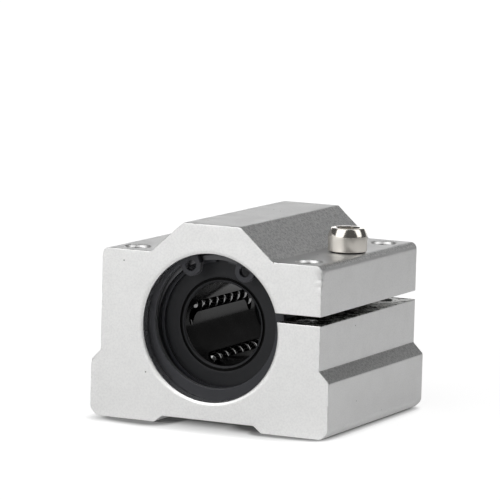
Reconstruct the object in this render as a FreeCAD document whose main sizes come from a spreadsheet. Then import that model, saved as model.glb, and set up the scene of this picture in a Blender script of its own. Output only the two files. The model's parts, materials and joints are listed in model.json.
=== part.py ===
import FreeCAD, Part
import math
import os

import Sketcher
from FreeCAD import Placement, Rotation, Vector

# Linear bearing block for a 16 mm shaft: a slit clamp housing with one closed
# ball bushing, held by a retaining ring at each end of the bore.
# X is the width, Y runs along the shaft, Z is up. The origin is the middle of
# the foot face. The slit and its clamp screw are on the +X side.

SIZES = [
    # housing section
    ("block_length", 44.0),
    ("foot_width", 50.0),
    ("body_width", 45.52),
    ("ledge_low", 10.74),
    ("ledge_high", 12.77),
    ("shoulder_height", 32.5),
    ("block_height", 38.5),
    ("slope_foot_width", 25.44),
    ("ridge_width", 11.88),
    ("foot_chamfer", 1.4),
    ("recess_mouth", 22.56),
    ("recess_width", 19.28),
    ("recess_depth", 1.29),
    ("foot_round", 0.7),
    ("ledge_round", 0.6),
    ("shoulder_round", 1.3),
    ("ridge_round", 0.8),
    ("inner_round", 0.5),
    # bore, retaining ring grooves and slit
    ("bore_dia", 28.0),
    ("bore_height", 19.0),
    ("bore_chamfer", 0.5),
    ("groove_depth", 0.7),
    ("groove_width", 1.3),
    ("slit_above_bore", 3.3),
    ("slit_width", 1.8),
    ("cut_overrun", 1.0),
    # mounting holes and clamp screw hole
    ("hole_pitch_x", 36.0),
    ("hole_pitch_y", 34.0),
    ("tap_drill_dia", 4.3),
    ("hole_chamfer", 0.5),
    ("screw_hole_gap", 0.25),
    ("screw_hole_chamfer", 0.2),
    ("tap_run_out", 2.0),
    ("thread_gap", 0.05),
    # clamp screw
    ("screw_dia", 5.0),
    ("screw_length", 20.0),
    ("screw_tip", 0.6),
    ("head_dia", 7.5),
    ("head_height", 4.7),
    ("head_round", 0.95),
    ("hex_width", 4.0),
    ("hex_depth", 2.5),
    ("hex_chamfer", 0.1),
    ("hex_turn", 10.0),
    # retaining rings of the bore
    ("ring_thickness", 1.2),
    ("ring_width", 2.78),
    ("ring_shift", 0.8),
    ("ring_fit_gap", 0.02),
    ("ring_turn", -1.5),
    ("lug_inset", 2.28),
    ("lug_width", 4.1),
    ("lug_angle", 27.0),
    ("lug_hole_dia", 2.1),
    # bushing sleeve
    ("bearing_length", 37.0),
    ("sleeve_gap", 0.01),
    ("sleeve_chamfer", 0.6),
    ("sleeve_groove_depth", 0.5),
    ("sleeve_groove_at", 13.25),
    ("sleeve_groove_width", 1.6),
    ("seat_step", 0.2),
    ("relief_gap", 0.05),
    ("side_groove_inset", 1.3),
    ("side_groove_width", 0.7),
    ("side_groove_depth", 0.35),
    # ball circuits
    ("shaft_dia", 16.0),
    ("ball_dia", 3.175),
    ("ball_gap", 0.01),
    ("ball_play", 0.0625),
    ("circuit_count", 5),
    ("circuit_turn", 20.0),
    ("circuit_spread", 32.0),
    ("return_cover", 1.35),
    ("race_overrun", 0.1),
    # retainer, seals and their side rings
    ("retainer_gap", 0.5),
    ("retainer_race_gap", 0.175),
    ("collar_gap", 0.1),
    ("collar_step_gap", 0.2),
    ("retainer_end_wall", 1.0),
    ("seal_gap", 0.05),
    ("seal_fit_gap", 0.02),
    ("seal_thickness", 1.15),
    ("seal_groove_depth", 0.5),
    ("seal_groove_width", 0.5),
    ("lip_thickness", 0.45),
    ("lip_slope", 0.2),
    ("lip_land", 0.35),
    ("side_ring_gap", 0.03),
    ("side_ring_depth", 0.6),
    ("side_ring_opening", 12.0),
]

THROUGH_BLOCK = "(Size.block_length + 2 * Size.cut_overrun)"
WITHIN_BORE = "Size.bore_dia / 4"

# Radii and places along the bore that several pieces share, as formulas over the sheet
CHANNEL_RADIUS = "(Size.ball_dia / 2 + Size.ball_play)"
LOAD_RADIUS = "((Size.shaft_dia + Size.ball_dia) / 2)"
RETURN_RADIUS = f"(Size.bore_dia / 2 - Size.return_cover - {CHANNEL_RADIUS})"
RACE_RADIUS = f"({LOAD_RADIUS} + Size.ball_dia / 2 + Size.ball_gap)"
RELIEF_RADIUS = f"({RETURN_RADIUS} + {CHANNEL_RADIUS} + Size.relief_gap)"
SEAT_RADIUS = f"({RELIEF_RADIUS} - Size.seat_step)"
RING_OUTER = "(Size.bore_dia / 2 + Size.groove_depth - Size.ring_fit_gap)"
RING_AT = "(Size.bearing_length / 2 + Size.ring_fit_gap)"
SIDE_GROOVE_OUTER = "(Size.bearing_length / 2 - Size.side_groove_inset)"
SIDE_GROOVE_INNER = f"({SIDE_GROOVE_OUTER} - Size.side_groove_width)"
SEAL_OUTER = f"({SIDE_GROOVE_INNER} - Size.seal_gap)"
SEAL_INNER = f"({SEAL_OUTER} - Size.seal_thickness)"
RETAINER_END = f"({SEAL_INNER} - Size.seal_gap)"

# One ball circuit seen along the shaft: its load row and return row stand either
# side of the Z axis, and its racetrack lies in the plane through both rows
LOAD_X = f"({LOAD_RADIUS} * sin(Size.circuit_spread / 2))"
LOAD_Z = f"({LOAD_RADIUS} * cos(Size.circuit_spread / 2))"
RETURN_X = f"(-{RETURN_RADIUS} * sin(Size.circuit_spread / 2))"
RETURN_Z = f"({RETURN_RADIUS} * cos(Size.circuit_spread / 2))"
MIDDLE_X = f"(({LOAD_X} + {RETURN_X}) / 2)"
MIDDLE_Z = f"(({LOAD_Z} + {RETURN_Z}) / 2)"
CIRCUIT_TILT = f"atan(({RETURN_Z} - {LOAD_Z}) / ({LOAD_X} - {RETURN_X}))"
TURN_RADIUS = f"(sqrt(({LOAD_X} - {RETURN_X})^2 + ({RETURN_Z} - {LOAD_Z})^2) / 2)"
CHANNEL_END = f"({RETAINER_END} - Size.retainer_end_wall)"
ROW_HALF = f"({CHANNEL_END} - {CHANNEL_RADIUS} - {TURN_RADIUS})"
RACE_END = f"({ROW_HALF} + Size.race_overrun)"
COLLAR_START = f"({RACE_END} + Size.collar_step_gap)"

FROM_FRONT = Vector(0, -1, 0)
UP = Vector(0, 0, 1)
SMALL = 1e-6


def make_sheet(doc):
    sheet = doc.addObject("Spreadsheet::Sheet", "Size")
    for row, (alias, value) in enumerate(SIZES, start=1):
        sheet.set(f"A{row}", alias)
        sheet.set(f"B{row}", str(value))
        sheet.setAlias(f"B{row}", alias)
    doc.recompute()


def number(obj, formula):
    result = obj.evalExpression(formula)
    return float(getattr(result, "Value", result))


# ---------------------------------------------------------------- bodies and sketches

def new_body(doc, label):
    body = doc.addObject("PartDesign::Body", label)
    body.Label = label
    return body


def origin_plane(body, role):
    return next(f for f in body.Origin.OriginFeatures if f.Role == role)


def new_sketch(body, name, role, turn=None, turn_axis=UP, **offset):
    """Sketch on an origin plane of its own body, moved and turned by formulas."""
    sketch = body.newObject("Sketcher::SketchObject", name)
    sketch.AttachmentSupport = [(origin_plane(body, role), "")]
    sketch.MapMode = "FlatFace"
    if turn:
        sketch.AttachmentOffset = Placement(Vector(), Rotation(turn_axis, number(sketch, turn)))
        sketch.setExpression("AttachmentOffset.Rotation.Angle", turn)
    for direction, formula in offset.items():
        sketch.setExpression(f"AttachmentOffset.Base.{direction}", formula)
    return sketch


def hold(sketch, kind, geometry, vertex, formula):
    """Binds one coordinate of a sketch point, DistanceX or DistanceY, to a formula."""
    value = number(sketch, formula)
    if formula == "0":
        axis = -2 if kind == "DistanceX" else -1
        sketch.addConstraint(Sketcher.Constraint("PointOnObject", geometry, vertex, axis))
        return
    index = sketch.addConstraint(Sketcher.Constraint(kind, -1, 1, geometry, vertex, value))
    sketch.setExpression(f"Constraints[{index}]", formula)


def heading(offset):
    return math.atan2(offset.y, offset.x)


def draw_outline(sketch, corners):
    """Closed outline through corners (x, y) given as formulas.

    A corner (x, y, height, sense) starts an arc round the point (0, height),
    counterclockwise where sense is "ccw" and clockwise where it is "cw".
    """
    points = [Vector(number(sketch, c[0]), number(sketch, c[1]), 0) for c in corners]
    edges = []
    for index, corner in enumerate(corners):
        here = points[index]
        there = points[(index + 1) % len(points)]
        if len(corner) == 2:
            line = sketch.addGeometry(Part.LineSegment(here, there), False)
            edges.append((line, 1, 2))
            continue
        height, sense = corner[2:]
        centre = Vector(0, number(sketch, height), 0)
        start, end = (here, there) if sense == "ccw" else (there, here)
        circle = Part.Circle(centre, UP, (here - centre).Length)
        arc = Part.ArcOfCircle(circle, heading(start - centre), heading(end - centre))
        drawn = sketch.addGeometry(arc, False)
        hold(sketch, "DistanceY", drawn, 3, height)
        edges.append((drawn, 1, 2) if sense == "ccw" else (drawn, 2, 1))
    for index, corner in enumerate(corners):
        edge, first, _ = edges[index]
        before, _, last = edges[index - 1]
        sketch.addConstraint(Sketcher.Constraint("Coincident", before, last, edge, first))
        hold(sketch, "DistanceX", edge, first, corner[0])
        hold(sketch, "DistanceY", edge, first, corner[1])


def draw_circle(sketch, x, y, diameter):
    centre = Vector(number(sketch, x), number(sketch, y), 0)
    size = number(sketch, diameter)
    circle = sketch.addGeometry(Part.Circle(centre, UP, size / 2), False)
    hold(sketch, "DistanceX", circle, 3, x)
    hold(sketch, "DistanceY", circle, 3, y)
    index = sketch.addConstraint(Sketcher.Constraint("Diameter", circle, size))
    sketch.setExpression(f"Constraints[{index}]", diameter)


def mirrored_corners(corners):
    """The same corners at minus x, in reverse order."""
    return [(f"-({x})", y) for x, y in reversed(corners)]


# ---------------------------------------------------------------- features

def set_values(made, values):
    """Text that names a sheet cell is bound as a formula; other values are set."""
    for key, value in values.items():
        if isinstance(value, str) and "Size." in value:
            made.setExpression(key, value)
        else:
            setattr(made, key, value)


def feature(body, kind, name, sketch, **values):
    made = body.newObject(f"PartDesign::{kind}", name)
    made.Profile = (sketch, [""])
    set_values(made, values)
    body.Document.recompute()
    return made


def turned(body, kind, name, sketch, axis="V_Axis"):
    """Revolution or groove of a section, a full turn round an axis of its sketch."""
    made = body.newObject(f"PartDesign::{kind}", name)
    made.Profile = (sketch, [""])
    made.ReferenceAxis = (sketch, [axis])
    made.Angle = 360.0
    body.Document.recompute()


def dress(body, kind, name, wanted, **sizes):
    """Fillet or chamfer on those edges of the tip that are wanted."""
    base = body.Tip
    names = [f"Edge{i}" for i, edge in enumerate(base.Shape.Edges, start=1) if wanted(edge)]
    if not names:
        raise ValueError(f"{body.Label}: no edge for {name}")
    made = body.newObject(f"PartDesign::{kind}", name)
    made.Base = (base, names)
    set_values(made, sizes)
    body.Document.recompute()


def repeat_round_y(body, name, original):
    """Polar pattern round the body's own Y axis, one copy for each ball circuit."""
    pattern = body.newObject("PartDesign::PolarPattern", name)
    pattern.Originals = [original]
    pattern.Axis = (origin_plane(body, "Y_Axis"), [""])
    pattern.Angle = 360.0
    pattern.setExpression("Occurrences", "Size.circuit_count")
    body.Tip = pattern
    body.Document.recompute()


def mirror_across_yz(body, name, originals):
    mirror = body.newObject("PartDesign::Mirrored", name)
    mirror.Originals = originals
    mirror.MirrorPlane = (origin_plane(body, "YZ_Plane"), [""])
    body.Tip = mirror
    body.Document.recompute()


def place_on_bore(piece, along, turn, rear):
    """Puts a piece made round its own Y axis for the front end on the bore axis.

    A rear piece is the same piece turned end for end, its distance on the +y side.
    """
    rotation = Rotation(FROM_FRONT, number(piece, turn))
    if rear:
        rotation = Rotation(UP, 180).multiply(rotation)
    piece.Placement = Placement(Vector(), rotation)
    piece.setExpression("Placement.Base.y", along if rear else f"-({along})")
    piece.setExpression("Placement.Base.z", "Size.bore_height")


# ---------------------------------------------------------------- housing

def make_housing(doc):
    body = new_body(doc, "housing_block")
    foot = "Size.foot_width / 2"
    side = "Size.body_width / 2"
    slope = "Size.slope_foot_width / 2"
    ridge = "Size.ridge_width / 2"
    right = [
        ("Size.recess_width / 2", "Size.recess_depth"),
        ("Size.recess_mouth / 2", "0"),
        (f"{foot} - Size.foot_chamfer", "0"),
        (foot, "Size.foot_chamfer"),
        (foot, "Size.ledge_low"),
        (side, "Size.ledge_high"),
        (side, "Size.shoulder_height"),
        (slope, "Size.shoulder_height"),
        (ridge, "Size.block_height"),
    ]
    section = new_sketch(body, "section", "XZ_Plane")
    draw_outline(section, right + mirrored_corners(right))
    feature(body, "Pad", "extrusion", section, SideType="Symmetric", Length="Size.block_length")
    rounds = [
        ("Size.foot_round", foot, "Size.foot_chamfer"),
        ("Size.foot_round", f"{foot} - Size.foot_chamfer", "0"),
        ("Size.ledge_round", foot, "Size.ledge_low"),
        ("Size.inner_round", side, "Size.ledge_high"),
        ("Size.shoulder_round", side, "Size.shoulder_height"),
        ("Size.inner_round", slope, "Size.shoulder_height"),
        ("Size.ridge_round", ridge, "Size.block_height"),
    ]
    for radius, x, z in rounds:
        dress(body, "Fillet", "corner_round", runs_along_y(body, x, z), Radius=radius)
    bore_housing(body)
    slit_housing(body)
    drill_mounting_holes(body)
    drill_clamp_hole(body)
    return body


def runs_along_y(body, x, z):
    """Test for the edges that run along Y at plus or minus x and at height z."""
    at_x = number(body, x)
    at_z = number(body, z)

    def wanted(edge):
        box = edge.BoundBox
        straight = box.XLength < SMALL and box.ZLength < SMALL
        return straight and abs(abs(box.XMin) - at_x) < SMALL and abs(box.ZMin - at_z) < SMALL

    return wanted


def bore_housing(body):
    circle = new_sketch(body, "bore_circle", "XZ_Plane", y="Size.bore_height")
    draw_circle(circle, "0", "0", "Size.bore_dia")
    feature(body, "Pocket", "bore", circle, SideType="Symmetric", Length=THROUGH_BLOCK)
    radius = number(body, "Size.bore_dia / 2")

    def mouth(edge):
        return isinstance(edge.Curve, Part.Circle) and abs(edge.Curve.Radius - radius) < SMALL

    dress(body, "Chamfer", "bore_mouths", mouth, Size="Size.bore_chamfer")

    # One retaining ring groove just outside each end face of the bushing
    grooves = new_sketch(body, "groove_sections", "XY_Plane", turn="90", z="Size.bore_height")
    start = "Size.bearing_length / 2"
    end = "(Size.bearing_length / 2 + Size.groove_width)"
    deep = "Size.bore_dia / 2 + Size.groove_depth"
    for sign in ("", "-"):
        draw_outline(grooves, [
            (f"{sign}{start}", WITHIN_BORE),
            (f"{sign}{end}", WITHIN_BORE),
            (f"{sign}{end}", deep),
            (f"{sign}{start}", deep),
        ])
    turned(body, "Groove", "ring_grooves", grooves, axis="H_Axis")


def slit_housing(body):
    slit = new_sketch(body, "slit_section", "XZ_Plane", y="Size.bore_height + Size.slit_above_bore")
    draw_outline(slit, [
        (WITHIN_BORE, "-Size.slit_width / 2"),
        ("Size.foot_width", "-Size.slit_width / 2"),
        ("Size.foot_width", "Size.slit_width / 2"),
        (WITHIN_BORE, "Size.slit_width / 2"),
    ])
    feature(body, "Pocket", "slit", slit, SideType="Symmetric", Length=THROUGH_BLOCK)


def drill_mounting_holes(body):
    centres = new_sketch(body, "mounting_centres", "XY_Plane", z="Size.shoulder_height")
    for side in ("-", ""):
        for end in ("-", ""):
            draw_circle(centres, f"{side}Size.hole_pitch_x / 2", f"{end}Size.hole_pitch_y / 2",
                        "Size.tap_drill_dia")
    feature(body, "Hole", "mounting_holes", centres, DepthType="ThroughAll",
            Diameter="Size.tap_drill_dia", HoleCutType="Countersink",
            HoleCutCustomValues=True, HoleCutDiameter="Size.tap_drill_dia + 2 * Size.hole_chamfer",
            HoleCutCountersinkAngle=90.0)


def drill_clamp_hole(body):
    """Clearance hole down to the slit, then a blind tapped hole with a drill point."""
    section = new_sketch(body, "clamp_hole_section", "XZ_Plane", x="Size.hole_pitch_x / 2")
    clear = "(Size.screw_dia / 2 + Size.screw_hole_gap)"
    mouth = f"({clear} + Size.screw_hole_chamfer)"
    tapped = "(Size.screw_dia / 2 + Size.thread_gap)"
    slit = "Size.bore_height + Size.slit_above_bore"
    low = "(Size.shoulder_height - Size.screw_length - Size.tap_run_out)"
    draw_outline(section, [
        ("0", "Size.shoulder_height + Size.cut_overrun"),
        (mouth, "Size.shoulder_height + Size.cut_overrun"),
        (mouth, "Size.shoulder_height"),
        (clear, "Size.shoulder_height - Size.screw_hole_chamfer"),
        (clear, slit),
        (tapped, slit),
        (tapped, low),
        ("0", f"{low} - {tapped} * tan(30)"),
    ])
    turned(body, "Groove", "clamp_hole", section)


# ---------------------------------------------------------------- clamp screw

def make_clamp_screw(doc):
    """Socket head cap screw; its own origin is the middle of the head's bearing face."""
    body = new_body(doc, "clamp_screw")
    section = new_sketch(body, "section", "XZ_Plane")
    shank = "Size.screw_dia / 2"
    head = "Size.head_dia / 2"
    draw_outline(section, [
        ("0", "-Size.screw_length"),
        (f"{shank} - Size.screw_tip", "-Size.screw_length"),
        (shank, "-Size.screw_length + Size.screw_tip"),
        (shank, "0"),
        (head, "0"),
        (head, "Size.head_height"),
        ("0", "Size.head_height"),
    ])
    turned(body, "Revolution", "turned_blank", section)
    top = number(body, "Size.head_height")

    def rim(edge):
        return abs(edge.BoundBox.ZMin - top) < SMALL and isinstance(edge.Curve, Part.Circle)

    dress(body, "Fillet", "head_rim", rim, Radius="Size.head_round")
    cut_hex_socket(body)
    body.setExpression("Placement.Base.x", "Size.hole_pitch_x / 2")
    body.setExpression("Placement.Base.z", "Size.shoulder_height")
    return body


def cut_hex_socket(body):
    corner = "(Size.hex_width / 2 / cos(30))"
    hexagon = new_sketch(body, "hexagon", "XY_Plane", turn="Size.hex_turn",
                         z="Size.head_height")
    draw_outline(hexagon, [
        (f"{corner} * cos({angle})", f"{corner} * sin({angle})")
        for angle in range(30, 390, 60)
    ])
    feature(body, "Pocket", "hex_socket", hexagon, Length="Size.hex_depth")

    # The countersunk mouth and the drill point of the socket
    drill = new_sketch(body, "socket_drill", "XZ_Plane", y="Size.head_height")
    flat = "Size.hex_width / 2"
    mouth = f"({corner} + Size.hex_chamfer)"
    draw_outline(drill, [
        ("0", "Size.cut_overrun"),
        (f"{mouth} + Size.cut_overrun * tan(60)", "Size.cut_overrun"),
        (flat, f"-({mouth} - {flat}) / tan(60)"),
        (flat, "-Size.hex_depth"),
        ("0", f"-Size.hex_depth - {flat} * tan(30)"),
    ])
    turned(body, "Groove", "socket_mouth", drill)


# ---------------------------------------------------------------- retaining rings

def make_snap_ring(doc, label, rear):
    """Open ring with an eccentric inside and two drilled lugs, from 0 to -y."""
    body = new_body(doc, label)
    half_lug = "Size.lug_width / 2"
    gap = f"(Size.lug_angle - asin({half_lug} / {RING_OUTER}) / 1deg)"
    inside = f"({RING_OUTER} - Size.ring_width + Size.ring_shift)"
    reach = (f"(Size.ring_shift * cos({gap})"
             f" + sqrt({inside}^2 - (Size.ring_shift * sin({gap}))^2))")
    band = new_sketch(body, "band", "XZ_Plane")
    draw_outline(band, [
        (f"-{RING_OUTER} * sin({gap})", f"{RING_OUTER} * cos({gap})", "0", "ccw"),
        (f"{RING_OUTER} * sin({gap})", f"{RING_OUTER} * cos({gap})"),
        (f"{reach} * sin({gap})", f"{reach} * cos({gap})", "Size.ring_shift", "cw"),
        (f"-{reach} * sin({gap})", f"{reach} * cos({gap})"),
    ])
    feature(body, "Pad", "ring_band", band, Length="Size.ring_thickness")

    lug = new_sketch(body, "lug_outline", "XZ_Plane", turn="-Size.lug_angle")
    shoulder = f"sqrt({RING_OUTER}^2 - ({half_lug})^2)"
    centre = f"({RING_OUTER} - Size.lug_inset)"
    draw_outline(lug, [
        (half_lug, shoulder, "0", "ccw"),
        (f"-{half_lug}", shoulder),
        (f"-{half_lug}", centre, centre, "ccw"),
        (half_lug, centre),
    ])
    lug_pad = feature(body, "Pad", "lug", lug, Length="Size.ring_thickness")
    hole = new_sketch(body, "lug_hole_circle", "XZ_Plane", turn="-Size.lug_angle")
    draw_circle(hole, "0", centre, "Size.lug_hole_dia")
    lug_hole = feature(body, "Pocket", "lug_hole", hole, SideType="Symmetric",
                       Length="2 * (Size.ring_thickness + Size.cut_overrun)")
    mirror_across_yz(body, "second_lug", [lug_pad, lug_hole])
    place_on_bore(body, RING_AT, "Size.ring_turn", rear)
    return body


# ---------------------------------------------------------------- bushing sleeve

def make_sleeve(doc):
    body = new_body(doc, "bearing_sleeve")
    outer = "(Size.bore_dia / 2 - Size.sleeve_gap)"
    end = "Size.bearing_length / 2"
    groove = f"({outer} - Size.sleeve_groove_depth)"
    groove_start = "(Size.sleeve_groove_at - Size.sleeve_groove_width)"
    side_groove = f"({SEAT_RADIUS} + Size.side_groove_depth)"
    relief_end = f"({CHANNEL_END} + Size.relief_gap)"
    rear_half = [
        (outer, groove_start),
        (groove, groove_start),
        (groove, "Size.sleeve_groove_at"),
        (outer, "Size.sleeve_groove_at"),
        (outer, f"{end} - Size.sleeve_chamfer"),
        (f"{outer} - Size.sleeve_chamfer", end),
        (SEAT_RADIUS, end),
        (SEAT_RADIUS, SIDE_GROOVE_OUTER),
        (side_groove, SIDE_GROOVE_OUTER),
        (side_groove, SIDE_GROOVE_INNER),
        (SEAT_RADIUS, SIDE_GROOVE_INNER),
        (SEAT_RADIUS, relief_end),
        (RELIEF_RADIUS, relief_end),
        (RELIEF_RADIUS, RACE_END),
        (RACE_RADIUS, RACE_END),
    ]
    front_half = [(x, f"-({y})") for x, y in reversed(rear_half)]
    section = new_sketch(body, "section", "XY_Plane")
    draw_outline(section, rear_half + front_half)
    turned(body, "Revolution", "turned_sleeve", section)

    row = new_sketch(body, "return_row", "XZ_Plane")
    draw_circle(row, RETURN_X, RETURN_Z, f"2 * {CHANNEL_RADIUS}")
    cut = feature(body, "Pocket", "return_groove", row, SideType="Symmetric",
                  Length=f"2 * {RACE_END} + Size.collar_step_gap")
    repeat_round_y(body, "return_grooves", cut)
    place_on_bore(body, "0", "Size.circuit_turn", False)
    return body


# ---------------------------------------------------------------- ball retainer

def make_retainer(doc):
    """Tube with thick end collars and one racetrack channel for each ball circuit."""
    body = new_body(doc, "ball_retainer")
    bore = "(Size.shaft_dia / 2 + Size.retainer_gap)"
    middle = f"({RACE_RADIUS} - Size.retainer_race_gap)"
    collar = f"({SEAT_RADIUS} - Size.collar_gap)"
    section = new_sketch(body, "section", "XY_Plane")
    draw_outline(section, [
        (bore, f"-{RETAINER_END}"),
        (collar, f"-{RETAINER_END}"),
        (collar, f"-{COLLAR_START}"),
        (middle, f"-{COLLAR_START}"),
        (middle, COLLAR_START),
        (collar, COLLAR_START),
        (collar, RETAINER_END),
        (bore, RETAINER_END),
    ])
    turned(body, "Revolution", "moulded_tube", section)
    channel = cut_channel(body)
    repeat_round_y(body, "channels", channel)
    place_on_bore(body, "0", "Size.circuit_turn", False)
    return body


def cut_channel(body):
    """U section, open to the outside, swept once round the racetrack of a circuit."""
    path = new_sketch(body, "racetrack", "XY_Plane", turn=CIRCUIT_TILT,
                      turn_axis=Vector(0, 1, 0), x=MIDDLE_X, z=MIDDLE_Z)
    draw_outline(path, [
        (TURN_RADIUS, f"-{ROW_HALF}"),
        (TURN_RADIUS, ROW_HALF, ROW_HALF, "ccw"),
        (f"-{TURN_RADIUS}", ROW_HALF),
        (f"-{TURN_RADIUS}", f"-{ROW_HALF}", f"-{ROW_HALF}", "ccw"),
    ])
    section = new_sketch(body, "channel_section", "XZ_Plane", turn=f"-{CIRCUIT_TILT}",
                         x=LOAD_X, y=LOAD_Z)
    rise = f"({SEAT_RADIUS} - {LOAD_RADIUS} + Size.cut_overrun)"
    draw_outline(section, [
        (f"-{CHANNEL_RADIUS}", "0", "0", "ccw"),
        (CHANNEL_RADIUS, "0"),
        (CHANNEL_RADIUS, rise),
        (f"-{CHANNEL_RADIUS}", rise),
    ])
    pipe = body.newObject("PartDesign::SubtractivePipe", "channel")
    pipe.Profile = (section, [""])
    pipe.Spine = (path, [""])
    pipe.Mode = "Binormal"
    tilt = math.radians(number(body, CIRCUIT_TILT))
    pipe.Binormal = Vector(math.sin(tilt), 0, math.cos(tilt))
    body.Document.recompute()
    return pipe


# ---------------------------------------------------------------- seals and side rings

def make_seal(doc, label, rear):
    """Rubber disc with a face groove that frees the lip which wipes the shaft."""
    body = new_body(doc, label)
    rim = f"({SEAT_RADIUS} - Size.seal_fit_gap)"
    lip = "Size.shaft_dia / 2"
    lip_back = f"({lip} + Size.lip_thickness)"
    face_edge = f"({lip_back} + Size.seal_groove_width)"
    lip_face = f"({SEAL_OUTER} - Size.lip_slope)"
    groove_floor = f"({SEAL_OUTER} - Size.seal_groove_depth)"
    section = new_sketch(body, "section", "XY_Plane")
    draw_outline(section, [
        (rim, f"-{SEAL_INNER}"),
        (rim, f"-{SEAL_OUTER}"),
        (face_edge, f"-{SEAL_OUTER}"),
        (face_edge, f"-{groove_floor}"),
        (lip_back, f"-{groove_floor}"),
        (lip_back, f"-{SEAL_OUTER}"),
        (lip, f"-{lip_face}"),
        (lip, f"-({lip_face} - Size.lip_land)"),
        (lip_back, f"-{SEAL_INNER}"),
    ])
    turned(body, "Revolution", "moulded_seal", section)
    place_on_bore(body, "0", "0", rear)
    return body


def make_side_ring(doc, label, rear):
    """Thin open ring that keeps the seal in the sleeve, from 0 to -y."""
    body = new_body(doc, label)
    outer = f"({SEAT_RADIUS} + Size.side_groove_depth - Size.side_ring_gap)"
    inner = f"({SEAT_RADIUS} - Size.side_ring_depth)"
    half = "Size.side_ring_opening / 2"
    ring = new_sketch(body, "ring_outline", "XZ_Plane")
    draw_outline(ring, [
        (f"-{outer} * sin({half})", f"{outer} * cos({half})", "0", "ccw"),
        (f"{outer} * sin({half})", f"{outer} * cos({half})"),
        (f"{inner} * sin({half})", f"{inner} * cos({half})", "0", "cw"),
        (f"-{inner} * sin({half})", f"{inner} * cos({half})"),
    ])
    feature(body, "Pad", "ring_wire", ring,
            Length="Size.side_groove_width - 2 * Size.side_ring_gap")
    place_on_bore(body, f"({SIDE_GROOVE_INNER} + Size.side_ring_gap)", "0", rear)
    return body


# ---------------------------------------------------------------- balls

def on_racetrack(distance, radius, half):
    """Point of the racetrack, measured from the front end of the load row."""
    turn = math.pi * radius
    distance %= 4 * half + 2 * turn
    if distance < 2 * half:
        return Vector(radius, distance - half, 0)
    if distance < 2 * half + turn:
        angle = (distance - 2 * half) / radius
        return Vector(radius * math.cos(angle), half + radius * math.sin(angle), 0)
    if distance < 4 * half + turn:
        return Vector(-radius, half - (distance - 2 * half - turn), 0)
    angle = (distance - 4 * half - turn) / radius
    return Vector(-radius * math.cos(angle), -half - radius * math.sin(angle), 0)


def next_ball(distance, pitch, radius, half):
    """Distance along the racetrack of the next ball, a straight pitch from this one."""
    here = on_racetrack(distance, radius, half)
    low = distance
    high = distance + 2 * pitch
    while high - low > SMALL:
        middle = (low + high) / 2
        if (on_racetrack(middle, radius, half) - here).Length < pitch:
            low = middle
        else:
            high = middle
    return high


def ball_centres(piece):
    """Centres of one circuit's balls on its racetrack: the load row, then the rest."""
    radius = number(piece, TURN_RADIUS)
    half = number(piece, ROW_HALF)
    pitch = number(piece, "Size.ball_dia + Size.ball_gap")
    loaded = int(2 * half / pitch) + 1
    distance = half - (loaded - 1) * pitch / 2
    centres = [on_racetrack(distance, radius, half)]
    while True:
        distance = next_ball(distance, pitch, radius, half)
        centre = on_racetrack(distance, radius, half)
        if len(centres) > loaded and (centre - centres[0]).Length < pitch:
            return centres[:loaded], centres[loaded:]
        centres.append(centre)


def make_ball_row(doc, label, centres, circuit):
    """Separate balls of one circuit, made on the racetrack above the retainer's Y axis."""
    row = doc.addObject("Part::Compound", label)
    row.Label = label
    tilt = math.radians(number(row, CIRCUIT_TILT))
    middle = Vector(number(row, MIDDLE_X), 0, number(row, MIDDLE_Z))
    across = Vector(math.cos(tilt), 0, -math.sin(tilt))
    balls = []
    for centre in centres:
        ball = doc.addObject("Part::Sphere", f"{label}_ball")
        ball.setExpression("Radius", "Size.ball_dia / 2")
        ball.Placement = Placement(middle + across * centre.x + Vector(0, centre.y, 0), Rotation())
        balls.append(ball)
    row.Links = balls
    place_on_bore(row, "0", f"Size.circuit_turn + {circuit} * 360 / Size.circuit_count", False)
    return row


def make_balls(doc, piece):
    loaded, returning = ball_centres(piece)
    rows = []
    for circuit in range(int(number(piece, "Size.circuit_count"))):
        rows.append(make_ball_row(doc, f"load_balls_{circuit + 1}", loaded, circuit))
        rows.append(make_ball_row(doc, f"return_balls_{circuit + 1}", returning, circuit))
    return rows


# ---------------------------------------------------------------- document

def check(doc, pieces):
    for obj in doc.Objects:
        if "Invalid" in obj.State or "Error" in obj.State:
            raise RuntimeError(f"{obj.Label} failed: {obj.State}")
    for piece in pieces:
        if piece.Shape.isNull() or not piece.Shape.isValid():
            raise RuntimeError(f"{piece.Label} has no valid shape")


def main():
    doc = FreeCAD.newDocument("linear_bearing_block")
    make_sheet(doc)
    housing = make_housing(doc)
    pieces = [
        housing,
        make_clamp_screw(doc),
        make_snap_ring(doc, "front_snap_ring", False),
        make_snap_ring(doc, "rear_snap_ring", True),
        make_sleeve(doc),
        make_retainer(doc),
        make_seal(doc, "front_seal", False),
        make_seal(doc, "rear_seal", True),
        make_side_ring(doc, "front_side_ring", False),
        make_side_ring(doc, "rear_side_ring", True),
    ]
    pieces += make_balls(doc, housing)
    doc.recompute()
    check(doc, pieces)
    os.makedirs("parts", exist_ok=True)
    for piece in pieces:
        piece.Shape.exportStep(f"parts/{piece.Label}.step")
        print(f"{piece.Label}: {len(piece.Shape.Solids)} solids, {piece.Shape.Volume:.1f} mm3")


main()
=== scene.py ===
import json
import bmesh
import bpy
import numpy as np
from mathutils import Matrix, Vector

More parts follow.
